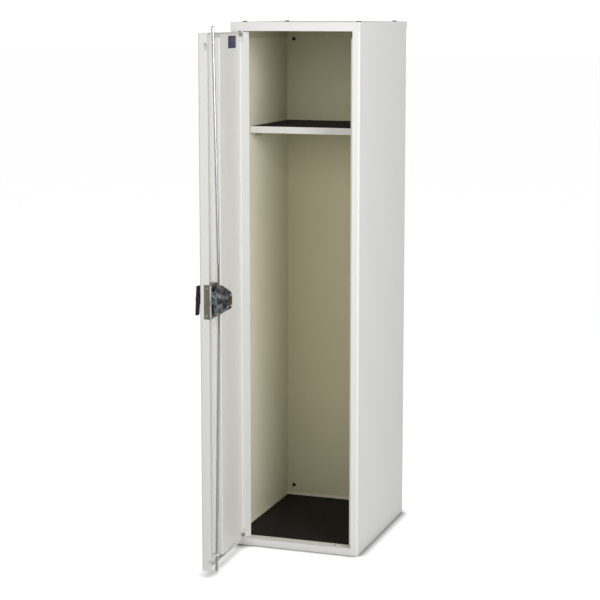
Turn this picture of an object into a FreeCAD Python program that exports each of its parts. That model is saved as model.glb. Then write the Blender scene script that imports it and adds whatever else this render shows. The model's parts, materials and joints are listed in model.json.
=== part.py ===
# Tall single-door steel locker cabinet with a three-point espagnolette lock.
# Millimetres. X to the right, Y to the back, Z up. The origin is the centre of the
# carcass base on the floor. The door stands open, close to a right angle, at rest.
import FreeCAD
import Part
import math
import os

os.makedirs("parts", exist_ok=True)
V = FreeCAD.Vector

# ---- carcass ----
WIDTH = 400.0
DEPTH = 500.0
HEIGHT = 1600.0
EDGE_TOL = 0.01
SHEET = 1.2
POST_FACE = 22.5
POST_CORNER_R = 5.0
LIP_CLEAR = 2.0
STOP_LIP = 13.5
LIP_TOP_NOTCH = 21.5
LIP_FLOOR_GAP = 3.0
REAR_FLANGE = 35.0
BASE_FLANGE = 25.0

# ---- roof ----
FASCIA_H = 26.5
SKIRT_H = 22.0
LEDGE_PAST_LIP = 8.0
RAIL_UPTURN = 12.0
CAP_REAR_GAP = 1.3
CEILING_FLANGE = 26.0

# ---- floor ----
RAIL_H = 21.3
TRAY_FLANGE = 11.7
TOE_RETURN = 25.0
BRACE_W = 25.0
MAT_T = 2.5
MAT_MARGIN = 1.0

# ---- shelf ----
SHELF_DROP = 318.0
SHELF_LIP_H = 20.0
SHELF_FRONT_SETBACK = 150.0
SHELF_SIDE_GAP = 1.8
SHELF_REAR_GAP = 1.6
SHELF_RETURN = 14.0
BRACKET_LEG = 14.0
BRACKET_H = 16.0
BRACKET_T = 1.5
BRACKET_LEN = 60.0
BRACKET_INSET = 45.0
RIVET_HEAD_R = 4.5
RIVET_HEAD_T = 1.4

# ---- roof plugs and wall fixing ----
PLUG_INSET_X = 22.0
PLUG_INSET_Y = 60.0
PLUG_HEAD_R = 7.0
PLUG_HEAD_T = 2.7
PLUG_CHAMFER = 1.0
PLUG_STEM_R = 4.8
PLUG_HOLE_R = 5.0
PLUG_STEM_L = 7.0
FIXING_INSET = 24.0
FIXING_Z_LOW = 57.0
FIXING_DROP = 56.0
FIXING_R = 4.5

# ---- door ----
OPEN_ANGLE = 88.5
DOOR_GAP = 2.0
DOOR_GAP_BOTTOM = 1.7
DOOR_GAP_TOP = 2.5
DOOR_T = 28.0
DOOR_SHEET = 1.2
DOOR_CORNER_R = 4.0
DOOR_END_DEPTH = 14.0
STIFF_W = 55.0
STIFF_OFFSET = 32.0
STIFF_FLANGE = 12.0
STIFF_DEPTH = 20.0
STIFF_T = 1.0
STIFF_BEND_R = 3.0
STIFF_END_GAP = 14.0
WINDOW_B0 = 17.0
WINDOW_B1 = 26.0
WINDOW_GAP = 1.5
WINDOW_HIGH_H = 20.0
WINDOW_LOW_H = 8.0

# ---- pivots ----
PIVOT_EDGE = 6.5
PIVOT_FACE = 7.0
PIN_R = 4.0
PIN_CLEAR = 0.05
PIN_HEAD_GAP = 0.2
PIN_HEAD_T = 2.0
PIN_IN_BLOCK = 20.0
BLOCK_W = 13.0
BLOCK_H = 24.0
WASHER_R = 6.5
WASHER_T = 1.5
PIVOT_SCREW_R = 6.2
PIVOT_SCREW_T = 3.0
PIVOT_SCREW_B = 7.8
PIVOT_SCREW_END = 9.0

# ---- lock ----
LOCK_A = 54.0
LOCK_Z = 812.5
CASE_W = 77.8
CASE_B0 = 13.0
CASE_LIP_GAP = 0.8
CASE_DOWN = 48.0
CASE_UP = 51.0
CASE_CUT = 16.0
PLATE_T = 0.8
PLATE_B0 = 14.5
PLATE_RIM = 0.4
PLATE_LAP = 2.0
RIM_T = 0.5
RIM_W = 11.5
RIM_END = 3.0
PLATE_SCREW_R = 3.0
PLATE_SCREW_DROP = 10.0
PLATE_SCREW_T = 0.5
SPINDLE_R = 4.5
SPINDLE_CLEAR = 0.3
ESC_HALF_A = 15.0
ESC_HALF_Z = 32.0
ESC_T = 5.0
ESC_BEVEL = 1.2
CAM_LIP_GAP = 0.6
CAM_T = 3.0
CAM_R = 19.0
TONGUE_END_A = 4.0
TONGUE_HALF = 7.0
CRANK_R = 14.0
CRANK_DEG = 45.0
CRANK_PIN_R = 2.0
CRANK_PIN_HEAD_R = 3.2
CRANK_PIN_HEAD_T = 1.5
LAYER_GAP = 0.7
COVER_SIDE_GAP = 3.5
COVER_LAP = 3.0
COVER_CAM_GAP = 0.4
COVER_TIER = 7.2
COVER_RISE = 27.8
COVER_T = 1.6
COVER_LOW_HALF = 41.0
COVER_LOW_CUT = 14.0
COVER_HIGH_IN = 13.0
COVER_HIGH_OUT = 8.0
COVER_HIGH_HALF = 24.0
COVER_HIGH_CUT = 8.0
COVER_HIGH_SLANT = 27.0
FOOT_HINGE_W = 4.5
FOOT_HINGE_HALF = 28.0
FOOT_FREE_W = 10.0
FOOT_FREE_H = 15.0
COVER_SCREW_R = 3.2
COVER_SCREW_T = 2.0
COVER_SCREW_INSET = 9.0
SPINDLE_SOCKET = 7.0
SPINDLE_TAIL = 3.0
COLLAR_R = 7.0
SPACER_R = 5.4
NUT_GAP = 6.8
NUT_R = 8.0
NUT_T = 4.5
NUT_SIDES = 6

# ---- handle, door closed: outside is negative B ----
GRIP_HALF_H = 43.0
GRIP_Z_SHIFT = -4.0
GRIP_HALF_W = 9.0
GRIP_TOP_B = (-29.0, -19.5)
GRIP_BOTTOM_B = (-33.0, -25.0)
GRIP_EDGE_R = 2.4
BOSS_R = 12.5
BOSS_B0 = -29.5
KEY_R = 7.0
KEY_CLEAR = 0.3
KEY_DEPTH = 14.0
KEY_PROUD = 0.8
KEY_CHAMFER = 0.5
KEYWAY_W = 1.4
KEYWAY_L = 8.0
KEYWAY_DEPTH = 6.0

# ---- rods ----
ROD_R = 4.0
ROD_END_B = 24.5
ROD_REACH_UP = 16.0
ROD_REACH_DOWN = 15.0
ROD_FLAT_UP = 104.0
ROD_FLAT_DOWN = 98.0
ROD_POINT = 3.0
ROD_HOLE_CLEAR = 0.9
GUIDE_CLEAR = 0.35
BLADE_T = 2.0
BLADE_HALF = 5.0
BLADE_FOOT_Z = 26.0
BLADE_FOOT_H = 12.0
BLADE_HUB_GAP = 1.4
BLADE_OUT = 19.0
BLADE_WALL = 3.0
BLADE_INTO_ROD = 12.0
SLOT_SLACK_Z = 0.65
SLOT_SLACK_X = 0.5
NOTCH_CLEAR = 1.0
GUIDE_DROP = 26.0
GUIDE_LIFT = 34.5
GUIDE_T = 2.0
GUIDE_END = 64.0
GUIDE_B0 = 10.0
GUIDE_TAB = 14.0

# ---- label and buffers ----
LABEL_HINGE_GAP = 27.8
LABEL_W = 66.0
LABEL_H = 36.0
LABEL_DROP = 11.0
LABEL_T = 0.4
BUFFER_R = 5.0
BUFFER_T = 1.7
BUFFER_LOW = 330.0
BUFFER_DROP = 360.0

# ---- derived: carcass ----
XO = WIDTH / 2.0
YF = -DEPTH / 2.0
YB = DEPTH / 2.0
XI = XO - SHEET
POST_RETURN = DOOR_T + LIP_CLEAR
RAIL_LEDGE = POST_RETURN + LEDGE_PAST_LIP
OPEN_X = XO - POST_FACE
LIP_X = OPEN_X - STOP_LIP
LIP_Y = YF + POST_RETURN
BACK_Y0 = YB - 2.0 * SHEET
ROOF_Z = HEIGHT - SHEET
TOP_RAIL_Z = HEIGHT - FASCIA_H
SHELF_TOP = HEIGHT - SHELF_DROP
FIXING_X = XO - FIXING_INSET
FIXING_Z_HIGH = HEIGHT - FIXING_DROP
BUFFER_Z = (BUFFER_LOW, HEIGHT - BUFFER_DROP)

# ---- derived: door ----
FREE_X = OPEN_X - DOOR_GAP
DOOR_W = 2.0 * FREE_X
DOOR_BOTTOM = RAIL_H + DOOR_GAP_BOTTOM
DOOR_TOP = TOP_RAIL_Z - DOOR_GAP_TOP
PIVOT_X = -FREE_X + PIVOT_EDGE
PIVOT_Y = YF + PIVOT_FACE
PIN_HEAD_R = PIVOT_FACE - SHEET - PIN_HEAD_GAP
BLOCK_A1 = DOOR_W - DOOR_SHEET
BLOCK_A0 = BLOCK_A1 - BLOCK_W
STIFF_A0 = (DOOR_W - STIFF_W) / 2.0 - STIFF_OFFSET
STIFF_A1 = STIFF_A0 + STIFF_W
LABEL_A1 = BLOCK_A0 - LABEL_HINGE_GAP
LABEL_A0 = LABEL_A1 - LABEL_W
LABEL_TOP = DOOR_TOP - LABEL_DROP
GUIDE_Z_HIGH = DOOR_TOP - GUIDE_DROP
GUIDE_Z_LOW = DOOR_BOTTOM + GUIDE_LIFT

# ---- derived: lock and rods ----
LIP_A = STOP_LIP - DOOR_GAP
CASE_A1 = DOOR_SHEET + CASE_W
CASE_B1 = POST_RETURN - CASE_LIP_GAP
CASE_Z0 = LOCK_Z - CASE_DOWN
CASE_Z1 = LOCK_Z + CASE_UP
PLATE_B1 = DOOR_T - PLATE_RIM
CAM_B0 = POST_RETURN + SHEET + CAM_LIP_GAP
CAM_B1 = CAM_B0 + CAM_T
ROD_MID_B = CAM_B1 + LAYER_GAP + BLADE_T / 2.0
BLADE_B0 = ROD_MID_B - BLADE_T / 2.0
BLADE_B1 = ROD_MID_B + BLADE_T / 2.0
CRANK_PIN_L = 2.0 * LAYER_GAP + BLADE_T
NUT_B0 = CAM_B1 + NUT_GAP
COVER_B0 = CAM_B1 + COVER_CAM_GAP
COVER_MID = COVER_B0 + COVER_TIER
COVER_B1 = COVER_MID + COVER_RISE
COVER_A0 = LIP_A + COVER_SIDE_GAP
COVER_A1 = CASE_A1 + COVER_LAP
COVER_LOW = (COVER_A0, COVER_A1, LOCK_Z - COVER_LOW_HALF, LOCK_Z + COVER_LOW_HALF)
COVER_HIGH = (
    COVER_A0 + COVER_HIGH_IN, COVER_A1 - COVER_HIGH_OUT,
    LOCK_Z - COVER_HIGH_HALF, LOCK_Z + COVER_HIGH_HALF,
)
FOOT_HINGE = (CASE_A1 - FOOT_HINGE_W, CASE_A1, LOCK_Z - FOOT_HINGE_HALF, LOCK_Z + FOOT_HINGE_HALF)
FOOT_FREE = (COVER_A0, COVER_A0 + FOOT_FREE_W, LOCK_Z + COVER_LOW_CUT, LOCK_Z + COVER_LOW_CUT + FOOT_FREE_H)
GRIP_Z0 = LOCK_Z - GRIP_HALF_H + GRIP_Z_SHIFT
GRIP_Z1 = LOCK_Z + GRIP_HALF_H + GRIP_Z_SHIFT
ROD_HOLE_R = ROD_R + ROD_HOLE_CLEAR
ROD_TOP = TOP_RAIL_Z + ROD_REACH_UP
ROD_BOTTOM = RAIL_H - ROD_REACH_DOWN
ROD_FLAT_TOP = LOCK_Z + ROD_FLAT_UP
ROD_FLAT_BOTTOM = LOCK_Z - ROD_FLAT_DOWN
TURN_UP = V(0, 0, 1)


def box(x0, x1, y0, y1, z0, z1):
    return Part.makeBox(x1 - x0, y1 - y0, z1 - z0, V(x0, y0, z0))


def rod_z(x, y, r, z0, z1):
    return Part.makeCylinder(r, z1 - z0, V(x, y, z0), TURN_UP)


def rod_y(x, z, r, y0, y1):
    return Part.makeCylinder(r, y1 - y0, V(x, y0, z), V(0, 1, 0))


def prism(points, direction):
    wire = Part.makePolygon([V(*p) for p in points] + [V(*points[0])])
    return Part.Face(wire).extrude(direction)


def join(shapes):
    whole = shapes[0]
    if len(shapes) > 1:
        whole = whole.fuse(shapes[1:])
    return whole.removeSplitter()


def mirror_x(shape):
    return shape.mirror(V(0, 0, 0), V(1, 0, 0))


def dbox(a0, a1, b0, b1, z0, z1):
    # Door coordinates: a from the free edge, b from the outer face.
    return box(FREE_X - a1, FREE_X - a0, YF + b0, YF + b1, z0, z1)


def drod(a, z, r, b0, b1):
    return rod_y(FREE_X - a, z, r, YF + b0, YF + b1)


def dpoint(a, b, z):
    return V(FREE_X - a, YF + b, z)


def swing(shape):
    # From the closed position to the open rest position.
    turned = shape.copy()
    turned.rotate(V(PIVOT_X, PIVOT_Y, 0), TURN_UP, -OPEN_ANGLE)
    return turned


def side_panel():
    wall = box(-XO, -XI, YF + POST_CORNER_R, YB, 0, ROOF_Z)
    bend = rod_z(-XO + POST_CORNER_R, YF + POST_CORNER_R, POST_CORNER_R, 0, TOP_RAIL_Z)
    inner = rod_z(-XO + POST_CORNER_R, YF + POST_CORNER_R, POST_CORNER_R - SHEET, 0, TOP_RAIL_Z)
    quarter = box(-XO, -XO + POST_CORNER_R, YF, YF + POST_CORNER_R, 0, TOP_RAIL_Z)
    bend = bend.cut(inner).common(quarter)
    face = box(-XO + POST_CORNER_R, -OPEN_X, YF, YF + SHEET, 0, TOP_RAIL_Z)
    back_turn = box(-OPEN_X - SHEET, -OPEN_X, YF, LIP_Y + SHEET, 0, TOP_RAIL_Z)
    lip_z0 = RAIL_H + LIP_FLOOR_GAP
    lip = box(-OPEN_X - SHEET, -LIP_X, LIP_Y, LIP_Y + SHEET, lip_z0, TOP_RAIL_Z - LIP_TOP_NOTCH)
    rear = box(-XO, -XO + REAR_FLANGE, YB - SHEET, YB, 0, ROOF_Z)
    base = box(-XO, -XO + BASE_FLANGE, LIP_Y + SHEET, YB, 0, SHEET)
    panel = join([wall, bend, face, back_turn, lip, rear, base])
    return panel.cut(fixing_holes(-FIXING_X))


def fixing_holes(x):
    low = rod_y(x, FIXING_Z_LOW, FIXING_R, BACK_Y0 - SHEET, YB + SHEET)
    high = rod_y(x, FIXING_Z_HIGH, FIXING_R, BACK_Y0 - SHEET, YB + SHEET)
    return Part.makeCompound([low, high])


def back_panel():
    panel = box(-XI, XI, BACK_Y0, BACK_Y0 + SHEET, SHEET, ROOF_Z)
    return panel.cut(fixing_holes(-FIXING_X)).cut(fixing_holes(FIXING_X))


def top_cap():
    x1 = XO + SHEET
    y0 = YF - SHEET
    y1 = YB + CAP_REAR_GAP + SHEET
    skirt_z = HEIGHT - SKIRT_H
    roof = box(-x1, x1, y0, y1, ROOF_Z, HEIGHT)
    fascia = box(-x1, x1, y0, YF, TOP_RAIL_Z, HEIGHT)
    left = box(-x1, -XO, y0, y1, skirt_z, HEIGHT)
    right = box(XO, x1, y0, y1, skirt_z, HEIGHT)
    rear = box(-x1, x1, y1 - SHEET, y1, skirt_z, HEIGHT)
    ledge = box(-XI, XI, y0, YF + RAIL_LEDGE, TOP_RAIL_Z, TOP_RAIL_Z + SHEET)
    upturn = box(-XI, XI, YF + RAIL_LEDGE - SHEET, YF + RAIL_LEDGE, TOP_RAIL_Z, TOP_RAIL_Z + RAIL_UPTURN)
    cap = join([roof, fascia, left, right, rear, ledge, upturn])
    rod_x = FREE_X - LOCK_A
    cap = cap.cut(rod_z(rod_x, YF + ROD_END_B, ROD_HOLE_R, TOP_RAIL_Z - SHEET, TOP_RAIL_Z + 2.0 * SHEET))
    cap = cap.cut(rod_z(PIVOT_X, PIVOT_Y, PIN_R + PIN_CLEAR, TOP_RAIL_Z - SHEET, TOP_RAIL_Z + 2.0 * SHEET))
    for x, y in plug_places():
        cap = cap.cut(rod_z(x, y, PLUG_HOLE_R, ROOF_Z - SHEET, HEIGHT + SHEET))
    return cap


def plug_places():
    places = []
    for x in (-XO + PLUG_INSET_X, XO - PLUG_INSET_X):
        for y in (YF + PLUG_INSET_Y, YB - PLUG_INSET_Y):
            places.append((x, y))
    return places


def top_plugs():
    plugs = []
    for x, y in plug_places():
        head = rod_z(x, y, PLUG_HEAD_R, HEIGHT, HEIGHT + PLUG_HEAD_T)
        rim = [e for e in head.Edges if abs(e.BoundBox.ZMin - HEIGHT - PLUG_HEAD_T) < EDGE_TOL]
        head = head.makeChamfer(PLUG_CHAMFER, rim[:1])
        plugs.append(join([head, rod_z(x, y, PLUG_STEM_R, HEIGHT - PLUG_STEM_L, HEIGHT)]))
    return Part.makeCompound(plugs)


def ceiling_panel():
    z0 = TOP_RAIL_Z + SHEET
    y0 = YF + RAIL_LEDGE
    drop = z0 + SHEET - CEILING_FLANGE
    sheet = box(-XI, XI, y0, BACK_Y0, z0, z0 + SHEET)
    left = box(-XI, -XI + SHEET, y0, BACK_Y0, drop, z0 + SHEET)
    right = box(XI - SHEET, XI, y0, BACK_Y0, drop, z0 + SHEET)
    rear = box(-XI, XI, BACK_Y0 - SHEET, BACK_Y0, drop, z0 + SHEET)
    return join([sheet, left, right, rear])


def floor_tray():
    z0 = RAIL_H - SHEET
    step_y = LIP_Y + SHEET
    face = box(-OPEN_X, OPEN_X, YF, YF + SHEET, 0, RAIL_H)
    toe = box(-OPEN_X, OPEN_X, YF, YF + TOE_RETURN, 0, SHEET)
    ledge = box(-OPEN_X, OPEN_X, YF, step_y, z0, RAIL_H)
    pan = box(-XI, XI, step_y, BACK_Y0, z0, RAIL_H)
    flange_z = RAIL_H + TRAY_FLANGE
    flange_y = YF + RAIL_LEDGE
    left = box(-XI, -XI + SHEET, flange_y, BACK_Y0, z0, flange_z)
    right = box(XI - SHEET, XI, flange_y, BACK_Y0, z0, flange_z)
    rear = box(-XI, XI, BACK_Y0 - SHEET, BACK_Y0, z0, flange_z)
    tray = join([face, toe, ledge, pan, left, right, rear])
    rod_x = FREE_X - LOCK_A
    tray = tray.cut(rod_z(rod_x, YF + ROD_END_B, ROD_HOLE_R, z0 - SHEET, RAIL_H + SHEET))
    return tray.cut(rod_z(PIVOT_X, PIVOT_Y, PIN_R + PIN_CLEAR, z0 - SHEET, RAIL_H + SHEET))


def base_brace():
    half = BRACE_W / 2.0
    x1 = XO - BASE_FLANGE
    strip = box(-x1, x1, -half, half, 0, SHEET)
    web = box(-x1, x1, -SHEET / 2.0, SHEET / 2.0, 0, RAIL_H - SHEET)
    return join([strip, web])


def floor_mat():
    x1 = XI - SHEET - MAT_MARGIN
    return box(-x1, x1, YF + RAIL_LEDGE, BACK_Y0 - SHEET - MAT_MARGIN, RAIL_H, RAIL_H + MAT_T)


def shelf():
    x1 = XI - SHELF_SIDE_GAP
    y0 = YF + SHELF_FRONT_SETBACK
    y1 = BACK_Y0 - SHELF_REAR_GAP
    deck_z1 = SHELF_TOP - MAT_T
    deck_z0 = deck_z1 - SHEET
    low = SHELF_TOP - SHELF_LIP_H
    deck = box(-x1, x1, y0, y1, deck_z0, deck_z1)
    front = box(-x1, x1, y0, y0 + SHEET, low, SHELF_TOP)
    front_turn = box(-x1, x1, y0, y0 + SHELF_RETURN, low, low + SHEET)
    rear = box(-x1, x1, y1 - SHEET, y1, low, SHELF_TOP)
    left = box(-x1, -x1 + SHEET, y0, y1, low, SHELF_TOP)
    right = box(x1 - SHEET, x1, y0, y1, low, SHELF_TOP)
    return join([deck, front, front_turn, rear, left, right])


def shelf_mat():
    x1 = XI - SHELF_SIDE_GAP - SHEET
    y0 = YF + SHELF_FRONT_SETBACK + SHEET
    y1 = BACK_Y0 - SHELF_REAR_GAP - SHEET
    return box(-x1, x1, y0, y1, SHELF_TOP - MAT_T, SHELF_TOP)


def bracket_spans():
    y0 = YF + SHELF_FRONT_SETBACK + BRACKET_INSET
    y1 = BACK_Y0 - BRACKET_INSET
    return ((y0, y0 + BRACKET_LEN), (y1 - BRACKET_LEN, y1))


def shelf_brackets():
    top = SHELF_TOP - SHELF_LIP_H
    parts = []
    for y0, y1 in bracket_spans():
        wall = box(-XI, -XI + BRACKET_T, y0, y1, top - BRACKET_H, top)
        seat = box(-XI, -XI + BRACKET_LEG, y0, y1, top - BRACKET_T, top)
        bracket = join([wall, seat])
        parts.append(bracket)
        parts.append(mirror_x(bracket))
    return Part.makeCompound(parts)


def bracket_rivets():
    z = SHELF_TOP - SHELF_LIP_H - BRACKET_H / 2.0
    x0 = XI - BRACKET_T
    rivets = []
    for y0, y1 in bracket_spans():
        for y in (y0 + BRACKET_LEN / 4.0, y1 - BRACKET_LEN / 4.0):
            head = Part.makeCylinder(RIVET_HEAD_R, RIVET_HEAD_T, V(x0 - RIVET_HEAD_T, y, z), V(1, 0, 0))
            rivets.append(head)
            rivets.append(mirror_x(head))
    return Part.makeCompound(rivets)


def door_buffers():
    x = (OPEN_X + LIP_X) / 2.0
    return Part.makeCompound([rod_y(x, z, BUFFER_R, LIP_Y - BUFFER_T, LIP_Y) for z in BUFFER_Z])


def pivot_pin_upper():
    seat = TOP_RAIL_Z + SHEET
    pin = rod_z(PIVOT_X, PIVOT_Y, PIN_R, DOOR_TOP - PIN_IN_BLOCK, seat)
    return join([pin, rod_z(PIVOT_X, PIVOT_Y, PIN_HEAD_R, seat, seat + PIN_HEAD_T)])


def pivot_pin_lower():
    seat = RAIL_H - SHEET
    pin = rod_z(PIVOT_X, PIVOT_Y, PIN_R, seat, DOOR_BOTTOM + PIN_IN_BLOCK)
    return join([pin, rod_z(PIVOT_X, PIVOT_Y, PIN_HEAD_R, seat - PIN_HEAD_T, seat)])


def thrust_washer():
    ring = rod_z(PIVOT_X, PIVOT_Y, WASHER_R, RAIL_H, RAIL_H + WASHER_T)
    hole = rod_z(PIVOT_X, PIVOT_Y, PIN_R + PIN_CLEAR, RAIL_H, RAIL_H + WASHER_T)
    return ring.cut(hole)


def door_skin():
    # A pan open to the inside: face sheet, two deep upright edges, shallow top and bottom edges.
    w = DOOR_W
    t = DOOR_SHEET
    outer = dbox(0, w, 0, DOOR_T, DOOR_BOTTOM, DOOR_TOP)
    hollow = dbox(t, w - t, t, 2.0 * DOOR_T, DOOR_BOTTOM + t, DOOR_TOP - t)
    outer = outer.makeFillet(DOOR_CORNER_R, front_uprights(outer, YF + t))
    hollow = hollow.makeFillet(DOOR_CORNER_R - t, front_uprights(hollow, YF + 2.0 * t))
    skin = outer.cut(hollow)
    skin = skin.cut(dbox(t, w - t, DOOR_END_DEPTH, 2.0 * DOOR_T, DOOR_BOTTOM - t, DOOR_TOP + t))
    skin = skin.cut(dbox(-t, 2.0 * t, PLATE_B0, DOOR_T + t, CASE_Z0, CASE_Z1))
    for z0, z1 in guide_windows():
        skin = skin.cut(dbox(-t, 2.0 * t, WINDOW_B0, WINDOW_B1, z0, z1))
    over = (DOOR_TOP - 2.0 * t, DOOR_TOP + t)
    under = (DOOR_BOTTOM - t, DOOR_BOTTOM + 2.0 * t)
    skin = skin.cut(rod_z(PIVOT_X, PIVOT_Y, PIN_R + PIN_CLEAR, *over))
    skin = skin.cut(rod_z(PIVOT_X, PIVOT_Y, PIN_R + PIN_CLEAR, *under))
    return skin.cut(drod(LOCK_A, LOCK_Z, SPINDLE_R + SPINDLE_CLEAR, -t, 2.0 * t))


def front_uprights(block, y_limit):
    long_edges = [e for e in block.Edges if e.BoundBox.ZLength > block.BoundBox.ZLength / 2.0]
    return [e for e in long_edges if e.BoundBox.YMax < y_limit]


def guide_windows():
    high = GUIDE_Z_HIGH - GUIDE_T / 2.0 - WINDOW_GAP
    low = GUIDE_Z_LOW - GUIDE_T / 2.0 - WINDOW_GAP
    return ((high - WINDOW_HIGH_H, high), (low - WINDOW_LOW_H, low))


def door_stiffener():
    # Hat section: crown and webs bent from one strip, with a flange each side.
    z0 = DOOR_BOTTOM + STIFF_END_GAP
    z1 = DOOR_TOP - STIFF_END_GAP
    b0 = DOOR_SHEET
    b1 = b0 + STIFF_DEPTH
    t = STIFF_T
    outer = crowned(dbox(STIFF_A0, STIFF_A1, b0, b1, z0, z1), STIFF_BEND_R)
    inner = crowned(dbox(STIFF_A0 + t, STIFF_A1 - t, b0 - t, b1 - t, z0, z1), STIFF_BEND_R - t)
    foot_free = dbox(STIFF_A0 - STIFF_FLANGE, STIFF_A0 + t, b0, b0 + t, z0, z1)
    foot_hinge = dbox(STIFF_A1 - t, STIFF_A1 + STIFF_FLANGE, b0, b0 + t, z0, z1)
    return join([outer.cut(inner), foot_free, foot_hinge])


def crowned(block, radius):
    tall = block.BoundBox.ZLength / 2.0
    back = block.BoundBox.YMax - radius
    edges = [e for e in block.Edges if e.BoundBox.ZLength > tall and e.BoundBox.YMin > back]
    return block.makeFillet(radius, edges)


def pivot_block(z0, z1):
    block = dbox(BLOCK_A0, BLOCK_A1, DOOR_SHEET, DOOR_END_DEPTH, z0, z1)
    x_limit = FREE_X - BLOCK_A1 + DOOR_SHEET
    corner = [e for e in front_uprights(block, YF + 2.0 * DOOR_SHEET) if e.BoundBox.XMax < x_limit]
    return block.makeChamfer(DOOR_CORNER_R - DOOR_SHEET, corner)


def pivot_block_upper():
    z1 = DOOR_TOP - DOOR_SHEET
    block = pivot_block(z1 - BLOCK_H, z1)
    bore = rod_z(PIVOT_X, PIVOT_Y, PIN_R + PIN_CLEAR, DOOR_TOP - PIN_IN_BLOCK - DOOR_SHEET, z1)
    return block.cut(bore)


def pivot_block_lower():
    z0 = DOOR_BOTTOM + DOOR_SHEET
    block = pivot_block(z0, z0 + BLOCK_H)
    bore = rod_z(PIVOT_X, PIVOT_Y, PIN_R + PIN_CLEAR, z0, DOOR_BOTTOM + PIN_IN_BLOCK + DOOR_SHEET)
    return block.cut(bore)


def pan_head(a, z, r, b, thick):
    head = drod(a, z, r, b, b + thick)
    edge = [e for e in head.Edges if abs(e.BoundBox.YMin - (YF + b + thick)) < EDGE_TOL]
    return head.makeChamfer(thick / 3.0, edge[:1])


def pivot_screws():
    # Round heads on the blocks' faces that look towards the free edge.
    screws = []
    for z in (DOOR_TOP - PIVOT_SCREW_END, DOOR_BOTTOM + PIVOT_SCREW_END):
        base = dpoint(BLOCK_A0, PIVOT_SCREW_B, z)
        head = Part.makeCylinder(PIVOT_SCREW_R, PIVOT_SCREW_T, base, V(1, 0, 0))
        rim = [e for e in head.Edges if e.BoundBox.XMin > base.x + PIVOT_SCREW_T / 2.0]
        screws.append(head.makeFillet(PIVOT_SCREW_T / 2.0, rim[:1]))
    return Part.makeCompound(screws)


def rod_b_high(z):
    return ROD_MID_B + (ROD_END_B - ROD_MID_B) * (z - ROD_FLAT_TOP) / (ROD_TOP - ROD_FLAT_TOP)


def rod_b_low(z):
    return ROD_MID_B + (ROD_END_B - ROD_MID_B) * (ROD_FLAT_BOTTOM - z) / (ROD_FLAT_BOTTOM - ROD_BOTTOM)


def rod_guide(z, b):
    arm = dbox(DOOR_SHEET, GUIDE_END, GUIDE_B0, DOOR_T, z - GUIDE_T / 2.0, z + GUIDE_T / 2.0)
    tab = dbox(DOOR_SHEET, DOOR_SHEET + GUIDE_T, GUIDE_B0, DOOR_T, z, z + GUIDE_TAB)
    eye = rod_z(FREE_X - LOCK_A, YF + b, ROD_R + GUIDE_CLEAR, z - GUIDE_T, z + GUIDE_T)
    ring = rod_z(FREE_X - LOCK_A, YF + b, ROD_R + 2.0 * GUIDE_T, z - GUIDE_T, z + GUIDE_T)
    rim = dbox(DOOR_SHEET, GUIDE_END, DOOR_T - GUIDE_T, DOOR_T, z - GUIDE_T, z + GUIDE_T)
    return join([arm, tab, ring, rim]).cut(eye)


def lock_case():
    case = dbox(DOOR_SHEET, CASE_A1, CASE_B0, CASE_B1, CASE_Z0, CASE_Z1)
    far_x = FREE_X - CASE_A1 + DOOR_SHEET
    corner = [e for e in case.Edges if e.BoundBox.XMax < far_x and e.BoundBox.YLength > DOOR_SHEET]
    case = case.makeChamfer(CASE_CUT, corner)
    half = CASE_CUT
    pad = dbox(LOCK_A - half, LOCK_A + half, DOOR_SHEET, CASE_B0, LOCK_Z - half, LOCK_Z + half)
    return join([case, pad]).cut(drod(LOCK_A, LOCK_Z, SPINDLE_R + SPINDLE_CLEAR, 0, CASE_B1))


def lock_faceplate():
    plate = dbox(-PLATE_T, 0, PLATE_B0 - PLATE_LAP, PLATE_B1, CASE_Z0, CASE_Z1)
    boss = dbox(
        0, DOOR_SHEET, PLATE_B0 + DOOR_SHEET, PLATE_B1 - DOOR_SHEET, CASE_Z0 + DOOR_SHEET, CASE_Z1 - DOOR_SHEET)
    return join([plate, boss])


def case_rim():
    # Bright strip along the case's inner face, from the plate to the cover.
    z0 = CASE_Z0 + RIM_END
    z1 = CASE_Z1 - RIM_END
    return dbox(DOOR_SHEET, DOOR_SHEET + RIM_W, CASE_B1, CASE_B1 + RIM_T, z0, z1)


def faceplate_screws():
    screws = []
    b = (PLATE_B0 - PLATE_LAP + PLATE_B1) / 2.0
    for z in (CASE_Z0 + PLATE_SCREW_DROP, CASE_Z1 - PLATE_SCREW_DROP):
        base = V(FREE_X + PLATE_T, YF + b, z)
        screws.append(Part.makeCylinder(PLATE_SCREW_R, PLATE_SCREW_T, base, V(1, 0, 0)))
    return Part.makeCompound(screws)


def octagon(rect, cut, slant, b):
    # The corner at the free side and the top is cut by slant, the other three by cut.
    a0, a1, z0, z1 = rect
    corners = [
        (a0 + cut, z0), (a1 - cut, z0), (a1, z0 + cut), (a1, z1 - cut),
        (a1 - cut, z1), (a0 + slant, z1), (a0, z1 - slant), (a0, z0 + cut),
    ]
    points = [dpoint(a, b, z) for a, z in corners]
    return Part.makePolygon(points + [points[0]])


def shrink(rect, t):
    a0, a1, z0, z1 = rect
    return (a0 + t, a1 - t, z0 + t, z1 - t)


def cover_body(t):
    # Straight tier and tapering hood, inset by t on every side and under the top.
    low = shrink(COVER_LOW, t)
    high = shrink(COVER_HIGH, t)
    base = octagon(low, COVER_LOW_CUT, COVER_LOW_CUT, COVER_B0)
    tier = Part.Face(base).extrude(V(0, COVER_TIER, 0))
    foot = octagon(low, COVER_LOW_CUT, COVER_LOW_CUT, COVER_MID)
    crown = octagon(high, COVER_HIGH_CUT, COVER_HIGH_SLANT, COVER_B1 - t)
    return join([tier, Part.makeLoft([foot, crown], True, True)])


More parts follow.
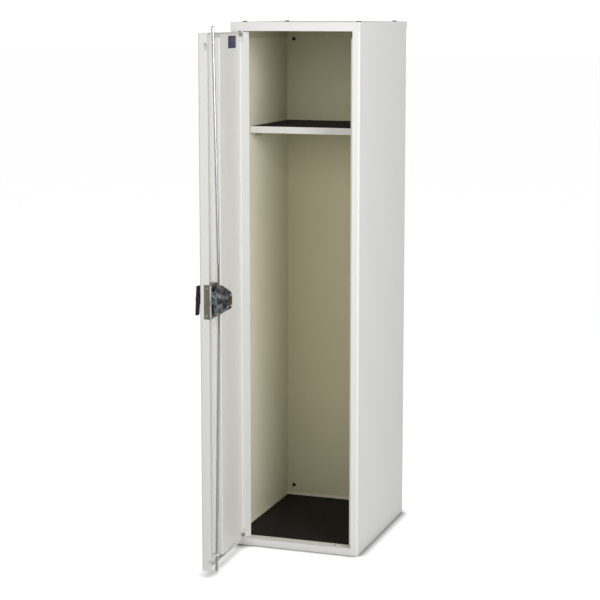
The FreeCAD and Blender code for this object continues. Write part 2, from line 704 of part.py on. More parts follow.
def lock_cover():
    outer = cover_body(0)
    shell = outer.cut(cover_body(COVER_T))
    top = BLADE_B1 + NOTCH_CLEAR
    near = LOCK_A - BLADE_OUT - NOTCH_CLEAR
    far = LOCK_A + BLADE_HALF + NOTCH_CLEAR
    shell = shell.cut(dbox(near, far, 0, top, LOCK_Z, CASE_Z1))
    near = LOCK_A - BLADE_HALF - NOTCH_CLEAR
    far = LOCK_A + BLADE_OUT + NOTCH_CLEAR
    shell = shell.cut(dbox(near, far, 0, top, CASE_Z0, LOCK_Z))
    pieces = [shell]
    for a0, a1, z0, z1 in (FOOT_HINGE, FOOT_FREE):
        pieces.append(dbox(a0, a1, CASE_B1, COVER_B0, z0, z1))
        pieces.append(dbox(a0, a1, COVER_B0, COVER_MID, z0, z1).common(outer))
    return join(pieces)


def cover_screws():
    screws = []
    a0, a1, z0, z1 = COVER_HIGH
    inset = COVER_SCREW_INSET
    for a, z in ((a0 + inset, z0 + inset), (a1 - inset, z1 - inset), (a1 - inset, z0 + inset)):
        screws.append(pan_head(a, z, COVER_SCREW_R, COVER_B1, COVER_SCREW_T))
    return Part.makeCompound(screws)


def escutcheon():
    a0 = LOCK_A - ESC_HALF_A
    a1 = LOCK_A + ESC_HALF_A
    plate = dbox(a0, a1, -ESC_T, 0, LOCK_Z - ESC_HALF_Z, LOCK_Z + ESC_HALF_Z)
    rim = [e for e in plate.Edges if e.BoundBox.YMax < YF - ESC_T + EDGE_TOL]
    plate = plate.makeChamfer(ESC_BEVEL, rim)
    return plate.cut(drod(LOCK_A, LOCK_Z, SPINDLE_R + SPINDLE_CLEAR, -ESC_T, 0))


def info_label():
    return dbox(LABEL_A0, LABEL_A1, DOOR_SHEET, DOOR_SHEET + LABEL_T, LABEL_TOP - LABEL_H, LABEL_TOP)


def handle_grip():
    x0 = FREE_X - LOCK_A - GRIP_HALF_W
    outline = [
        (x0, YF + GRIP_TOP_B[0], GRIP_Z1), (x0, YF + GRIP_TOP_B[1], GRIP_Z1),
        (x0, YF + GRIP_BOTTOM_B[1], GRIP_Z0), (x0, YF + GRIP_BOTTOM_B[0], GRIP_Z0),
    ]
    lever = prism(outline, V(2.0 * GRIP_HALF_W, 0, 0))
    lever = lever.makeFillet(GRIP_EDGE_R, lever.Edges)
    boss = drod(LOCK_A, LOCK_Z, BOSS_R, BOSS_B0, -ESC_T - SPINDLE_CLEAR)
    grip = join([lever, boss])
    grip = grip.cut(drod(LOCK_A, LOCK_Z, KEY_R + KEY_CLEAR, GRIP_BOTTOM_B[0], BOSS_B0 + KEY_DEPTH))
    return grip.cut(drod(LOCK_A, LOCK_Z, SPINDLE_R + PIN_CLEAR, -ESC_T - SPINDLE_SOCKET, 0))


def key_barrel():
    barrel = drod(LOCK_A, LOCK_Z, KEY_R, BOSS_B0 - KEY_PROUD, BOSS_B0 + KEY_DEPTH - KEY_CLEAR)
    rim = [e for e in barrel.Edges if e.BoundBox.YMax < YF + BOSS_B0 - KEY_PROUD + EDGE_TOL]
    barrel = barrel.makeChamfer(KEY_CHAMFER, rim[:1])
    half = KEYWAY_W / 2.0
    b0 = BOSS_B0 - KEY_PROUD
    length = KEYWAY_L / 2.0
    slot = dbox(LOCK_A - half, LOCK_A + half, b0, b0 + KEYWAY_DEPTH, LOCK_Z - length, LOCK_Z + length)
    return barrel.cut(slot)


def spindle():
    shaft = drod(LOCK_A, LOCK_Z, SPINDLE_R, -ESC_T - SPINDLE_SOCKET, NUT_B0 + NUT_T + SPINDLE_TAIL)
    collar = drod(LOCK_A, LOCK_Z, COLLAR_R, CASE_B1 + SPINDLE_CLEAR, CAM_B0)
    return join([shaft, collar])


def crank_places():
    angle = math.radians(CRANK_DEG)
    da = CRANK_R * math.cos(angle)
    dz = CRANK_R * math.sin(angle)
    return ((LOCK_A - da, LOCK_Z + dz), (LOCK_A + da, LOCK_Z - dz))


def cam_plate():
    disc = drod(LOCK_A, LOCK_Z, CAM_R, CAM_B0, CAM_B1)
    tongue = dbox(TONGUE_END_A, LOCK_A, CAM_B0, CAM_B1, LOCK_Z - TONGUE_HALF, LOCK_Z + TONGUE_HALF)
    plate = join([disc, tongue])
    return plate.cut(drod(LOCK_A, LOCK_Z, SPINDLE_R + PIN_CLEAR, CAM_B0, CAM_B1))


def crank_pins():
    pins = []
    b0 = CAM_B1
    for a, z in crank_places():
        shank = drod(a, z, CRANK_PIN_R, b0, b0 + CRANK_PIN_L)
        head = drod(a, z, CRANK_PIN_HEAD_R, b0 + CRANK_PIN_L, b0 + CRANK_PIN_L + CRANK_PIN_HEAD_T)
        pins.append(join([shank, head]))
    return Part.makeCompound(pins)


def spindle_spacer():
    tube = drod(LOCK_A, LOCK_Z, SPACER_R, CAM_B1, NUT_B0)
    return tube.cut(drod(LOCK_A, LOCK_Z, SPINDLE_R + PIN_CLEAR, CAM_B1, NUT_B0))


def spindle_nut():
    points = []
    for i in range(NUT_SIDES):
        angle = 2.0 * math.pi * i / NUT_SIDES
        da = NUT_R * math.cos(angle)
        dz = NUT_R * math.sin(angle)
        points.append((FREE_X - LOCK_A + da, YF + NUT_B0, LOCK_Z + dz))
    body = prism(points, V(0, NUT_T, 0))
    return body.cut(drod(LOCK_A, LOCK_Z, SPINDLE_R + PIN_CLEAR, NUT_B0, NUT_B0 + NUT_T))


def rod_with_blade(side, z_flat, z_end, z_pin):
    # side is -1 for the free-edge crank pin and +1 for the hinge-side pin.
    up = 1.0 if z_end > z_flat else -1.0
    start = dpoint(LOCK_A, ROD_MID_B, z_flat)
    finish = dpoint(LOCK_A, ROD_END_B, z_end)
    axis = finish.sub(start)
    length = axis.Length
    axis.normalize()
    shank = Part.makeCylinder(ROD_R, length - ROD_POINT, start, axis)
    tip_base = start.add(V(axis).multiply(length - ROD_POINT))
    tip = Part.makeCone(ROD_R, ROD_R / 2.0, ROD_POINT, tip_base, axis)
    b0 = BLADE_B0
    b1 = BLADE_B1
    foot_near = LOCK_Z + up * BLADE_FOOT_Z
    foot_far = foot_near + up * BLADE_FOOT_H
    stem_far = z_flat + up * BLADE_INTO_ROD
    a_out = LOCK_A + side * BLADE_OUT
    a_in = LOCK_A + side * (SPINDLE_R + BLADE_HUB_GAP)
    a_back = LOCK_A - side * BLADE_HALF
    tongue_end = z_pin - up * (CRANK_PIN_R + SLOT_SLACK_Z + BLADE_WALL)
    stem = flat(LOCK_A - BLADE_HALF, LOCK_A + BLADE_HALF, b0, b1, foot_near, stem_far)
    foot = flat(a_out, a_back, b0, b1, foot_near, foot_far)
    tongue = flat(a_out, a_in, b0, b1, tongue_end, foot_far)
    blade = join([stem, foot, tongue])
    angle = math.radians(CRANK_DEG)
    near = CRANK_R * math.cos(angle) - CRANK_PIN_R - SLOT_SLACK_X
    far = CRANK_R + CRANK_PIN_R + SLOT_SLACK_X
    half = CRANK_PIN_R + SLOT_SLACK_Z
    slot = flat(LOCK_A + side * near, LOCK_A + side * far, b0, b1, z_pin - half, z_pin + half)
    return join([shank, tip, blade.cut(slot)])


def flat(a0, a1, b0, b1, z0, z1):
    return dbox(min(a0, a1), max(a0, a1), b0, b1, min(z0, z1), max(z0, z1))


def upper_rod():
    pin_z = crank_places()[0][1]
    return rod_with_blade(-1.0, ROD_FLAT_TOP, ROD_TOP, pin_z)


def lower_rod():
    pin_z = crank_places()[1][1]
    return rod_with_blade(1.0, ROD_FLAT_BOTTOM, ROD_BOTTOM, pin_z)


def save(name, shape):
    shape.exportStep(os.path.join("parts", name + ".step"))


CARCASS = {
    "right_side_panel": lambda: mirror_x(side_panel()),
    "left_side_panel": side_panel,
    "back_panel": back_panel,
    "top_cap": top_cap,
    "top_plugs": top_plugs,
    "ceiling_panel": ceiling_panel,
    "floor_tray": floor_tray,
    "base_brace": base_brace,
    "floor_mat": floor_mat,
    "shelf": shelf,
    "shelf_mat": shelf_mat,
    "shelf_brackets": shelf_brackets,
    "bracket_rivets": bracket_rivets,
    "door_buffers": door_buffers,
    "pivot_pin_upper": pivot_pin_upper,
    "pivot_pin_lower": pivot_pin_lower,
    "thrust_washer": thrust_washer,
}

DOOR = {
    "door_skin": door_skin,
    "door_stiffener": door_stiffener,
    "pivot_block_upper": pivot_block_upper,
    "pivot_block_lower": pivot_block_lower,
    "pivot_screws": pivot_screws,
    "rod_guide_upper": lambda: rod_guide(GUIDE_Z_HIGH, rod_b_high(GUIDE_Z_HIGH)),
    "rod_guide_lower": lambda: rod_guide(GUIDE_Z_LOW, rod_b_low(GUIDE_Z_LOW)),
    "lock_case": lock_case,
    "lock_faceplate": lock_faceplate,
    "faceplate_screws": faceplate_screws,
    "case_rim": case_rim,
    "lock_cover": lock_cover,
    "cover_screws": cover_screws,
    "escutcheon": escutcheon,
    "info_label": info_label,
    "handle_grip": handle_grip,
    "key_barrel": key_barrel,
    "spindle": spindle,
    "cam_plate": cam_plate,
    "crank_pins": crank_pins,
    "spindle_spacer": spindle_spacer,
    "spindle_nut": spindle_nut,
    "upper_rod": upper_rod,
    "lower_rod": lower_rod,
}

for node, build in CARCASS.items():
    save(node, build())
for node, build in DOOR.items():
    save(node, swing(build()))
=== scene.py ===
import bpy
import bmesh
import json
import math
from mathutils import Matrix, Vector


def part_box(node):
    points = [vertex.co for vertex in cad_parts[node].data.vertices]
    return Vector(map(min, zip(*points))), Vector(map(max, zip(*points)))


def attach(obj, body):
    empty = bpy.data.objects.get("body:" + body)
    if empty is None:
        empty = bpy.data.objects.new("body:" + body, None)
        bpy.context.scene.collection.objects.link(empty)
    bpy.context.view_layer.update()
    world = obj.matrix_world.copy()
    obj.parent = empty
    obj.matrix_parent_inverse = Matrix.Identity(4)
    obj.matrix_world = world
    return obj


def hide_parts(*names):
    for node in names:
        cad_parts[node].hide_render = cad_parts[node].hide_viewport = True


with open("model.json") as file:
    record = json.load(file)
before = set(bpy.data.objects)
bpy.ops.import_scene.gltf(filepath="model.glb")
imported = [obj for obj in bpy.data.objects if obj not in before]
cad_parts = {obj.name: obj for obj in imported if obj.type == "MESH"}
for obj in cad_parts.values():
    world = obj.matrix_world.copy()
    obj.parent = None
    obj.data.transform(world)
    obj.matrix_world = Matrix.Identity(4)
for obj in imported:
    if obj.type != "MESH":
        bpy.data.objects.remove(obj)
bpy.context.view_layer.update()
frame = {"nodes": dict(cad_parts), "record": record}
nodes = frame["nodes"]
scene = bpy.context.scene


# ---------------------------------------------------------------- sizes in metres, tones and levels
PAINT = (0.80, 0.795, 0.775)
PAINT_RUBBED = (0.62, 0.60, 0.54)
# Inside wall tone and its worn patch tone: a darker, warmer copy of the paint, painted shade for the
# dim inside.
INNER_SHADE = (0.79, 0.755, 0.60)
INNER_SHADE_RUBBED = (0.56, 0.54, 0.46)
# Back, ceiling and shelf bracket tone and its worn patch tone: a darker, more olive copy of the paint,
# painted shade for the deep inside.
BACK_SHADE_TONE = (0.64, 0.605, 0.42)
BACK_SHADE_RUBBED = (0.42, 0.39, 0.27)
DOOR_TONE = (0.735, 0.73, 0.70)
DOOR_RUBBED = (0.56, 0.54, 0.47)
BLACK = (0.0, 0.0, 0.0)
WHITE = (1.0, 1.0, 1.0)
WALL_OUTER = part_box("right_side_panel")[1].x
STOP_LIP_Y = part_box("door_buffers")[1].y
SKIN_NEAR = 0.0002
SKIN_FAR = 0.0008
LIP_FADE = 0.0015

FIX_X = 0.176
FIX_Z = (0.057, 1.544)
CAP = ((0.0062, 0.0), (0.0062, 0.0006), (0.0055, 0.0011), (0.0030, 0.0013), (0.0004, 0.0013))
OUTER_CAP = ((0.0062, 0.0), (0.0062, 0.0005), (0.0050, 0.0009), (0.0004, 0.0009))
LATHE_STEPS = 32
SHARP_DEGREES = 40

# Screw heads as (part of the radius, part of the height), from the foot to the crown.
PAN_HEAD = ((1.0, 0.0), (1.0, 0.45), (0.93, 0.72), (0.74, 0.93), (0.4, 1.0), (0.05, 1.0))
RINGED_HEAD = (
    (1.0, 0.0), (1.0, 0.55), (0.92, 0.82), (0.80, 0.82), (0.72, 0.35),
    (0.58, 0.35), (0.52, 0.88), (0.30, 1.0), (0.04, 1.0),
)
RECESS_FOOT = (0.45, 0.5, -1.0)
RECESS_MOUTH = (1.0, 1.0, 1.0)
RECESS_REACH = 0.62
RECESS_DEPTH = 0.5
RECESS_WIDTH = 0.16
HEAD_REACH = 0.016

FLOOR_HALF = 60.0
FLOOR_DROP = 0.0005
FLOOR_TONE = (0.62, 0.62, 0.62)
# The dark floor tone, its reach and its ramp paint the contact shadow under the cabinet.
FLOOR_SHADOW_TONE = (0.10, 0.10, 0.10)
SHADOW_REACH = 0.05
SHADOW_STOPS = ((0.45, BLACK), (0.94, WHITE))
FLOOR_AS_LIGHT, FLOOR_AS_SEEN = 0.08, 0.78
WORLD_AS_LIGHT, WORLD_AS_SEEN = 0.34, 1.05

CAMERA_PLACE = (1.661, -5.009, 1.624)
CAMERA_YAW = math.radians(19.06)
CAMERA_PITCH = math.radians(8.15)
CAMERA_LENS = 102.36
CAMERA_SHIFT = -0.07
SENSOR_WIDTH = 36.0


# ---------------------------------------------------------------- materials
def new_material(name, color, rough, metal):
    mat = bpy.data.materials.new(name)
    mat.use_nodes = True
    nt = mat.node_tree
    bsdf = nt.nodes["Principled BSDF"]
    bsdf.inputs["Base Color"].default_value = (*color, 1.0)
    bsdf.inputs["Roughness"].default_value = rough
    bsdf.inputs["Metallic"].default_value = metal
    coord = nt.nodes.new("ShaderNodeTexCoord")
    return mat, nt, bsdf, coord


def noise(nt, coord, scale, detail=3.0, rough=0.55, stretch=None):
    tex = nt.nodes.new("ShaderNodeTexNoise")
    tex.inputs["Scale"].default_value = scale
    tex.inputs["Detail"].default_value = detail
    tex.inputs["Roughness"].default_value = rough
    source = coord.outputs["Object"]
    if stretch is not None:
        mapping = nt.nodes.new("ShaderNodeMapping")
        mapping.inputs["Scale"].default_value = stretch
        nt.links.new(source, mapping.inputs["Vector"])
        source = mapping.outputs["Vector"]
    nt.links.new(source, tex.inputs["Vector"])
    return tex.outputs["Fac"]


def ramp(nt, fac, stops, blend="LINEAR"):
    node = nt.nodes.new("ShaderNodeValToRGB")
    node.color_ramp.interpolation = blend
    while len(node.color_ramp.elements) < len(stops):
        node.color_ramp.elements.new(0.5)
    for element, (place, color) in zip(node.color_ramp.elements, stops):
        element.position = place
        element.color = (*color, 1.0)
    nt.links.new(fac, node.inputs["Fac"])
    return node.outputs["Color"]


def mapped(nt, fac, low, high):
    node = nt.nodes.new("ShaderNodeMapRange")
    node.inputs["To Min"].default_value = low
    node.inputs["To Max"].default_value = high
    nt.links.new(fac, node.inputs["Value"])
    return node.outputs["Result"]


def step_between(nt, value, start, end):
    node = nt.nodes.new("ShaderNodeMapRange")
    node.inputs["From Min"].default_value = start
    node.inputs["From Max"].default_value = end
    nt.links.new(value, node.inputs["Value"])
    return node.outputs["Result"]


def bump(nt, bsdf, height, strength, distance, chain=None):
    node = nt.nodes.new("ShaderNodeBump")
    node.inputs["Strength"].default_value = strength
    node.inputs["Distance"].default_value = distance
    nt.links.new(height, node.inputs["Height"])
    if chain is not None:
        nt.links.new(chain, node.inputs["Normal"])
    nt.links.new(node.outputs["Normal"], bsdf.inputs["Normal"])
    return node.outputs["Normal"]


def mix_color(nt, fac, a, b):
    node = nt.nodes.new("ShaderNodeMix")
    node.data_type = "RGBA"
    for socket, value in ((node.inputs[0], fac), (node.inputs[6], a), (node.inputs[7], b)):
        if hasattr(value, "default_value") or hasattr(value, "node"):
            nt.links.new(value, socket)
        elif isinstance(value, tuple):
            socket.default_value = (*value, 1.0)
        else:
            socket.default_value = value
    return node.outputs[2]


def coat_over(nt, bsdf, coord, base, warm):
    # Sprayed and baked paint: fine orange peel, faint mottling and a few rubbed, warmer patches.
    broad = noise(nt, coord, 2.3, 2.0)
    fine = noise(nt, coord, 950.0, 2.0)
    peel = noise(nt, coord, 330.0, 3.0)
    tone = mix_color(nt, mapped(nt, broad, 0.0, 0.07), base, warm)
    worn = noise(nt, coord, 26.0, 5.0, 0.7)
    scuff = ramp(nt, worn, ((0.66, BLACK), (0.80, WHITE)))
    final = mix_color(nt, mapped(nt, scuff, 0.0, 0.10), tone, warm)
    nt.links.new(final, bsdf.inputs["Base Color"])
    nt.links.new(mapped(nt, fine, 0.36, 0.50), bsdf.inputs["Roughness"])
    first = bump(nt, bsdf, peel, 0.10, 0.0004)
    bump(nt, bsdf, fine, 0.06, 0.0002, first)
    bsdf.inputs["Specular IOR Level"].default_value = 0.40
    bsdf.inputs["Coat Weight"].default_value = 0.08
    bsdf.inputs["Coat Roughness"].default_value = 0.30


def powder_coat(name, color, warm):
    mat, nt, bsdf, coord = new_material(name, color, 0.42, 0.0)
    coat_over(nt, bsdf, coord, color, warm)
    return mat


def wall_paint_with_inner_shade(name, outer, inner_shade, warm):
    # The folded wall: the outside sheet face and the post take the full coat; the inside faces take a
    # darker, warmer tone that is painted shade for the dim inside of the cabinet.
    mat, nt, bsdf, coord = new_material(name, outer, 0.42, 0.0)
    sep = nt.nodes.new("ShaderNodeSeparateXYZ")
    nt.links.new(coord.outputs["Object"], sep.inputs["Vector"])
    side = nt.nodes.new("ShaderNodeMath")
    side.operation = "ABSOLUTE"
    nt.links.new(sep.outputs["X"], side.inputs[0])
    within = step_between(nt, side.outputs[0], WALL_OUTER - SKIN_NEAR, WALL_OUTER - SKIN_FAR)
    behind = step_between(nt, sep.outputs["Y"], STOP_LIP_Y, STOP_LIP_Y + LIP_FADE)
    inner_shade_mask = nt.nodes.new("ShaderNodeMath")
    inner_shade_mask.operation = "MULTIPLY"
    nt.links.new(within, inner_shade_mask.inputs[0])
    nt.links.new(behind, inner_shade_mask.inputs[1])
    coat_over(nt, bsdf, coord, mix_color(nt, inner_shade_mask.outputs[0], outer, inner_shade), warm)
    return mat


def rubber_mat(name):
    # Matt black rubber sheet: a fine leather grain and a little dust.
    mat, nt, bsdf, coord = new_material(name, (0.008, 0.008, 0.0075), 0.75, 0.0)
    dust = noise(nt, coord, 14.0, 5.0, 0.65)
    base = ramp(nt, dust, ((0.30, (0.0055, 0.0055, 0.005)), (0.75, (0.011, 0.011, 0.010))))
    nt.links.new(base, bsdf.inputs["Base Color"])
    nt.links.new(mapped(nt, dust, 0.66, 0.86), bsdf.inputs["Roughness"])
    bsdf.inputs["Specular IOR Level"].default_value = 0.22
    first = bump(nt, bsdf, noise(nt, coord, 420.0, 3.0), 0.25, 0.0003)
    bump(nt, bsdf, noise(nt, coord, 1400.0, 2.0), 0.12, 0.0002, first)
    return mat


def plated(name, color, low, high, grain, dull=0.0, metal=1.0):
    # Plated steel: directional grain, cloudy passivation, small dull spots.
    mat, nt, bsdf, coord = new_material(name, color, low, metal)
    cloud = noise(nt, coord, 38.0, 4.0, 0.6)
    spots = noise(nt, coord, 240.0, 3.0, 0.7)
    lines = noise(nt, coord, 60.0, 3.0, 0.6, grain)
    dark = tuple(c * 0.62 for c in color)
    base = mix_color(nt, cloud, dark, color)
    spotted = ramp(nt, spots, ((0.62, BLACK), (0.78, WHITE)))
    base = mix_color(nt, mapped(nt, spotted, 0.0, 0.25 + dull), base, tuple(c * 0.45 for c in color))
    nt.links.new(base, bsdf.inputs["Base Color"])
    nt.links.new(mapped(nt, lines, low, high), bsdf.inputs["Roughness"])
    first = bump(nt, bsdf, lines, 0.10, 0.0002)
    bump(nt, bsdf, spots, 0.05, 0.0002, first)
    return mat


def bloomed(name, dark, middle, light):
    # Bright zinc plate whose mirror finish is broken up by dark passivation bloom.
    mat, nt, bsdf, coord = new_material(name, middle, 0.14, 1.0)
    bloom = noise(nt, coord, 62.0, 4.0, 0.66)
    fleck = noise(nt, coord, 230.0, 3.0, 0.70)
    base = ramp(nt, bloom, ((0.38, dark), (0.52, middle), (0.64, light)))
    bright = ramp(nt, fleck, ((0.60, BLACK), (0.68, WHITE)))
    base = mix_color(nt, mapped(nt, bright, 0.0, 0.80), base, (0.90, 0.90, 0.90))
    nt.links.new(base, bsdf.inputs["Base Color"])
    nt.links.new(mapped(nt, bloom, 0.10, 0.30), bsdf.inputs["Roughness"])
    first = bump(nt, bsdf, bloom, 0.45, 0.0020)
    bump(nt, bsdf, fleck, 0.12, 0.0004, first)
    return mat


def moulded(name, color, low, high, grain_scale=900.0, strength=0.10):
    # Injection-moulded plastic with a spark-eroded grain.
    mat, nt, bsdf, coord = new_material(name, color, low, 0.0)
    grain = noise(nt, coord, grain_scale, 2.0)
    broad = noise(nt, coord, 30.0, 3.0)
    base = mix_color(nt, broad, tuple(c * 0.8 for c in color), tuple(min(1.0, c * 1.25) for c in color))
    nt.links.new(base, bsdf.inputs["Base Color"])
    nt.links.new(mapped(nt, grain, low, high), bsdf.inputs["Roughness"])
    bump(nt, bsdf, grain, strength, 0.0002)
    return mat


def label_material(name):
    # A blank rating label: dark field, paler frame and plain bars in place of any print.
    mat, nt, bsdf, coord = new_material(name, (0.030, 0.022, 0.085), 0.45, 0.0)
    low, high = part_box("info_label")
    sep = nt.nodes.new("ShaderNodeSeparateXYZ")
    nt.links.new(coord.outputs["Object"], sep.inputs["Vector"])
    height = step_between(nt, sep.outputs["Z"], low.z, high.z)
    stops = (
        (0.0, (0.022, 0.018, 0.045)), (0.10, (0.040, 0.028, 0.115)), (0.62, (0.11, 0.10, 0.15)),
        (0.68, (0.016, 0.013, 0.026)), (0.80, (0.085, 0.08, 0.11)), (0.86, (0.016, 0.013, 0.026)),
    )
    band = ramp(nt, height, stops, "CONSTANT")
    speck = noise(nt, coord, 500.0, 2.0)
    base = mix_color(nt, mapped(nt, speck, 0.0, 0.25), band, (0.06, 0.05, 0.12))
    nt.links.new(base, bsdf.inputs["Base Color"])
    bump(nt, bsdf, speck, 0.03, 0.0001)
    return mat


paint = powder_coat("paint_carcass", PAINT, PAINT_RUBBED)
# Walls: full coat outside, painted shade on the inside faces.
walls_with_inner_shade = wall_paint_with_inner_shade("paint_walls_inner_shade", PAINT, INNER_SHADE, INNER_SHADE_RUBBED)
door_paint = powder_coat("paint_door", DOOR_TONE, DOOR_RUBBED)
# Painted shade: the back panel, ceiling and shelf brackets take the darker inside tone all over, also
# on the back panel's outer face.
shaded_inner_paint = powder_coat("paint_inner_shade", BACK_SHADE_TONE, BACK_SHADE_RUBBED)
mat_black = rubber_mat("ribbed_rubber")
zinc = plated("zinc_bright", (0.66, 0.67, 0.68), 0.20, 0.42, (1.0, 1.0, 0.05))
rod_zinc = plated("zinc_drawn_rod", (0.66, 0.67, 0.68), 0.24, 0.42, (1.0, 1.0, 0.02), 0.05)
yellow_zinc = plated("zinc_yellowed", (0.40, 0.375, 0.31), 0.30, 0.50, (1.0, 0.05, 1.0), 0.12)
cast_zinc = bloomed("zinc_bloomed", (0.045, 0.052, 0.060), (0.17, 0.19, 0.215), (0.48, 0.50, 0.52))
rim_metal = plated("zinc_rim", (0.90, 0.90, 0.89), 0.38, 0.55, (1.0, 1.0, 0.05), 0.0, 0.35)
nickel = plated("nickel_key", (0.78, 0.77, 0.74), 0.14, 0.30, (1.0, 1.0, 1.0))
black_plastic = moulded("black_moulded", (0.012, 0.012, 0.013), 0.28, 0.46)
plug_plastic = moulded("black_plug", (0.010, 0.010, 0.010), 0.45, 0.62)
nylon = moulded("nylon_natural", (0.72, 0.71, 0.66), 0.38, 0.55)
label_mat = label_material("blank_label")

LOOKS = {
    "left_side_panel": walls_with_inner_shade, "right_side_panel": walls_with_inner_shade, "back_panel": shaded_inner_paint,
    "top_cap": paint, "ceiling_panel": shaded_inner_paint, "floor_tray": walls_with_inner_shade, "base_brace": paint,
    "shelf": paint, "shelf_brackets": shaded_inner_paint, "floor_mat": mat_black, "shelf_mat": mat_black,
    "top_plugs": plug_plastic, "bracket_rivets": zinc, "door_buffers": nylon,
    "pivot_pin_upper": zinc, "pivot_pin_lower": zinc, "thrust_washer": nylon,
    "door_skin": door_paint, "door_stiffener": door_paint,
    "pivot_block_upper": door_paint, "pivot_block_lower": door_paint, "pivot_screws": zinc,
    "rod_guide_upper": door_paint, "rod_guide_lower": door_paint,
    "lock_case": yellow_zinc, "lock_faceplate": yellow_zinc, "faceplate_screws": zinc,
    "case_rim": rim_metal,
    "lock_cover": cast_zinc, "cover_screws": zinc, "escutcheon": black_plastic,
    "info_label": label_mat, "handle_grip": black_plastic, "spindle": zinc, "cam_plate": zinc,
    "crank_pins": zinc, "spindle_spacer": zinc, "spindle_nut": zinc, "key_barrel": nickel,
    "upper_rod": rod_zinc, "lower_rod": rod_zinc,
}
for name, mat in LOOKS.items():
    obj = nodes[name]
    obj.data.materials.clear()
    obj.data.materials.append(mat)

# ---------------------------------------------------------------- small pieces added to the CAD


def lathe(name, profile, centre, axis, steps=LATHE_STEPS):
    # profile: (radius, height) pairs from the rim's foot to the crown's centre, along axis.
    mesh = bpy.data.meshes.new(name)
    bm = bmesh.new()
    turn = Vector(axis).to_track_quat("Z", "Y").to_matrix().to_4x4()
    place = Matrix.Translation(centre) @ turn
    rings = []
    for radius, height in profile:
        ring = []
        for k in range(steps):
            angle = 2.0 * math.pi * k / steps
            point = Vector((radius * math.cos(angle), radius * math.sin(angle), height))
            ring.append(bm.verts.new(place @ point))
        rings.append(ring)
    for low, high in zip(rings, rings[1:]):
        for k in range(steps):
            bm.faces.new((low[k], low[(k + 1) % steps], high[(k + 1) % steps], high[k]))
    bm.faces.new(list(reversed(rings[0])))
    bm.faces.new(rings[-1])
    bm.to_mesh(mesh)
    bm.free()
    mesh.shade_smooth()
    mesh.set_sharp_from_angle(angle=math.radians(SHARP_DEGREES))
    obj = bpy.data.objects.new(name, mesh)
    scene.collection.objects.link(obj)
    return obj


def dark_caps_for_hole_shade():
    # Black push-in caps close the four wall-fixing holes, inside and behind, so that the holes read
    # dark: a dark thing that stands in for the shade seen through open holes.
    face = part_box("back_panel")[0].y
    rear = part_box("left_side_panel")[1].y
    for side, x in (("left", -FIX_X), ("right", FIX_X)):
        for level, z in zip(("low", "high"), FIX_Z):
            inside = lathe("cap_%s_%s" % (side, level), CAP, (x, face, z), (0, -1, 0))
            behind = lathe("cap_rear_%s_%s" % (side, level), OUTER_CAP, (x, rear, z), (0, 1, 0))
            for piece in (inside, behind):
                piece.data.materials.append(plug_plastic)
                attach(piece, "carcass")


dark_caps_for_hole_shade()


def cross_recess(head, centre, axis, reach, depth, width):
    # Cut a tapered cross into a head by a boolean with two crossed wedges.
    turn = Vector(axis).to_track_quat("Z", "Y").to_matrix().to_4x4()
    place = Matrix.Translation(centre) @ turn
    mesh = bpy.data.meshes.new("recess")
    bm = bmesh.new()
    for spin in (0.0, math.pi / 2.0):
        around = Matrix.Rotation(spin + math.pi / 4.0, 4, "Z")
        corners = []
        for x, y, z in (RECESS_FOOT, RECESS_MOUTH):
            for sx, sy in ((-1, -1), (1, -1), (1, 1), (-1, 1)):
                point = Vector((sx * x * reach, sy * y * width, z * depth))
                corners.append(bm.verts.new(place @ (around @ point)))
        low, high = corners[:4], corners[4:]
        bm.faces.new(list(reversed(low)))
        bm.faces.new(high)
        for k in range(4):
            bm.faces.new((low[k], low[(k + 1) % 4], high[(k + 1) % 4], high[k]))
    bm.to_mesh(mesh)
    bm.free()
    tool = bpy.data.objects.new("recess", mesh)
    scene.collection.objects.link(tool)
    cut = head.modifiers.new("recess", "BOOLEAN")
    cut.operation = "DIFFERENCE"
    cut.use_self = True
    cut.object = tool
    bpy.context.view_layer.update()
    shaped = bpy.data.meshes.new_from_object(head.evaluated_get(bpy.context.evaluated_depsgraph_get()))
    head.modifiers.clear()
    head.data = shaped
    bpy.data.objects.remove(tool)


def solids_of(node):
    # The vertices of each separate solid of one CAD node.
    mesh = nodes[node].data
    parent = list(range(len(mesh.vertices)))

    def find(i):
        while parent[i] != i:
            parent[i] = parent[parent[i]]
            i = parent[i]
        return i

    for edge in mesh.edges:
        parent[find(edge.vertices[0])] = find(edge.vertices[1])
    groups = {}
    for vertex in mesh.vertices:
        groups.setdefault(find(vertex.index), []).append(vertex.co.copy())
    return join_near(list(groups.values()))


def join_near(groups):
    # Faces of one head that share no vertices still lie within a head's width of each other.
    joined = []
    for points in groups:
        home = [known for known in joined if (known[0] - points[0]).length < HEAD_REACH]
        if home:
            home[0].extend(points)
        else:
            joined.append(list(points))
    return joined


def seat_of(points, axis):
    # Centre of a head's foot, its radius and its height along axis.
    across = axis.cross(Vector((0.0, 0.0, 1.0)))
    spans = []
    for direction in (axis, across, Vector((0.0, 0.0, 1.0))):
        along = [point.dot(direction) for point in points]
        spans.append((min(along), max(along)))
    (foot, top), (left, right), (low, high) = spans
    centre = axis * foot + across * (left + right) / 2.0 + Vector((0.0, 0.0, (low + high) / 2.0))
    return centre, (high - low) / 2.0, top - foot


joints = {joint["name"]: joint for joint in frame["record"]["behaviour"]["joints"]}
DOOR_IN = Vector(joints["handle_turn"]["axis"]).normalized()
DOOR_FREE = Vector((DOOR_IN.y, -DOOR_IN.x, 0.0))


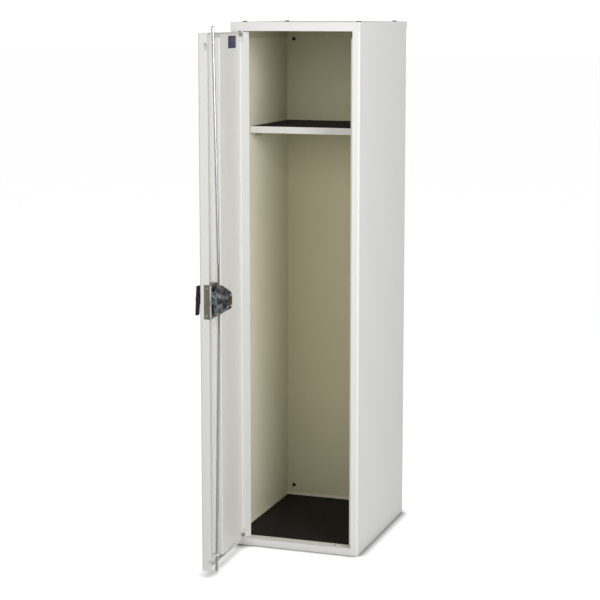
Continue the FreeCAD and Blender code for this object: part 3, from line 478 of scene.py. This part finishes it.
def detailed_heads(node, axis, mat, recessed):
    # One turned head for each plain solid of the node: cross-recessed, or ringed like a drive rivet.
    for index, points in enumerate(solids_of(node)):
        foot, radius, height = seat_of(points, axis)
        shape = PAN_HEAD if recessed else RINGED_HEAD
        profile = [(across * radius, along * height) for across, along in shape]
        head = lathe("%s_%d" % (node, index), profile, foot, axis)
        if recessed:
            crown = foot + axis * height
            cross_recess(
                head, crown, axis, RECESS_REACH * radius, RECESS_DEPTH * height, RECESS_WIDTH * radius)
        head.data.materials.clear()
        head.data.materials.append(mat)
        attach(head, "door")
        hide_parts(node)


detailed_heads("cover_screws", DOOR_IN, zinc, True)
detailed_heads("faceplate_screws", DOOR_FREE, zinc, True)
detailed_heads("pivot_screws", DOOR_FREE, zinc, False)

# ---------------------------------------------------------------- floor, backdrop and light
# The floor carries a painted contact shadow: by ambient occlusion its colour and glow darken in the
# crease under the cabinet, and it is white to the eye elsewhere.
floor_mat, floor_nt, floor_bsdf, _ = new_material("studio_floor_painted_shadow", FLOOR_TONE, 0.9, 0.0)
floor_path = floor_nt.nodes.new("ShaderNodeLightPath")
floor_occlusion = floor_nt.nodes.new("ShaderNodeAmbientOcclusion")
floor_occlusion.inputs["Distance"].default_value = SHADOW_REACH
floor_shadow_ramp = ramp(floor_nt, floor_occlusion.outputs["AO"], SHADOW_STOPS)
floor_shadowed_tone = mix_color(floor_nt, floor_shadow_ramp, FLOOR_SHADOW_TONE, FLOOR_TONE)
floor_nt.links.new(floor_shadowed_tone, floor_bsdf.inputs["Base Color"])
floor_nt.links.new(floor_shadow_ramp, floor_bsdf.inputs["Emission Color"])
floor_level = mapped(floor_nt, floor_path.outputs["Is Camera Ray"], FLOOR_AS_LIGHT, FLOOR_AS_SEEN)
floor_nt.links.new(floor_level, floor_bsdf.inputs["Emission Strength"])
floor_bsdf.inputs["Specular IOR Level"].default_value = 0.0
mesh = bpy.data.meshes.new("floor")
bm = bmesh.new()
bmesh.ops.create_grid(bm, x_segments=1, y_segments=1, size=FLOOR_HALF)
bm.to_mesh(mesh)
bm.free()
floor = bpy.data.objects.new("floor", mesh)
mesh.materials.append(floor_mat)
floor.location.z = -FLOOR_DROP
scene.collection.objects.link(floor)

# The backdrop is white to the eye and dimmer as a light, so that the inside stays shaded.
world = bpy.data.worlds.new("studio")
scene.world = world
world.use_nodes = True
wnt = world.node_tree
background = wnt.nodes["Background"]
background.inputs["Color"].default_value = (1.0, 1.0, 1.0, 1.0)
light_path = wnt.nodes.new("ShaderNodeLightPath")
world_level = mapped(wnt, light_path.outputs["Is Camera Ray"], WORLD_AS_LIGHT, WORLD_AS_SEEN)
wnt.links.new(world_level, background.inputs["Strength"])


def area(name, place, target, size, power, color=WHITE):
    light = bpy.data.lights.new(name, "AREA")
    light.shape = "RECTANGLE"
    light.size = size[0]
    light.size_y = size[1]
    light.energy = power
    light.color = color
    obj = bpy.data.objects.new(name, light)
    obj.location = place
    obj.rotation_euler = (Vector(target) - Vector(place)).to_track_quat("-Z", "Y").to_euler()
    scene.collection.objects.link(obj)


area("key", (0.3, -2.9, 1.95), (0.0, -0.1, 1.4), (1.5, 1.5), 21.0)
area("fill", (3.1, -2.5, 2.05), (0.0, -0.1, 1.2), (1.8, 2.0), 106.0, (0.98, 0.99, 1.0))

# ---------------------------------------------------------------- camera
camera = bpy.data.cameras.new("camera")
camera.sensor_width = SENSOR_WIDTH
camera.lens = CAMERA_LENS
camera.shift_y = CAMERA_SHIFT
cam_obj = bpy.data.objects.new("camera", camera)
level_part = math.cos(CAMERA_PITCH)
forward = Vector((
    -math.sin(CAMERA_YAW) * level_part, math.cos(CAMERA_YAW) * level_part, -math.sin(CAMERA_PITCH)))
cam_obj.location = CAMERA_PLACE
cam_obj.rotation_euler = forward.to_track_quat("-Z", "Y").to_euler()
scene.collection.objects.link(cam_obj)
scene.camera = cam_obj
scene.view_settings.view_transform = "Standard"
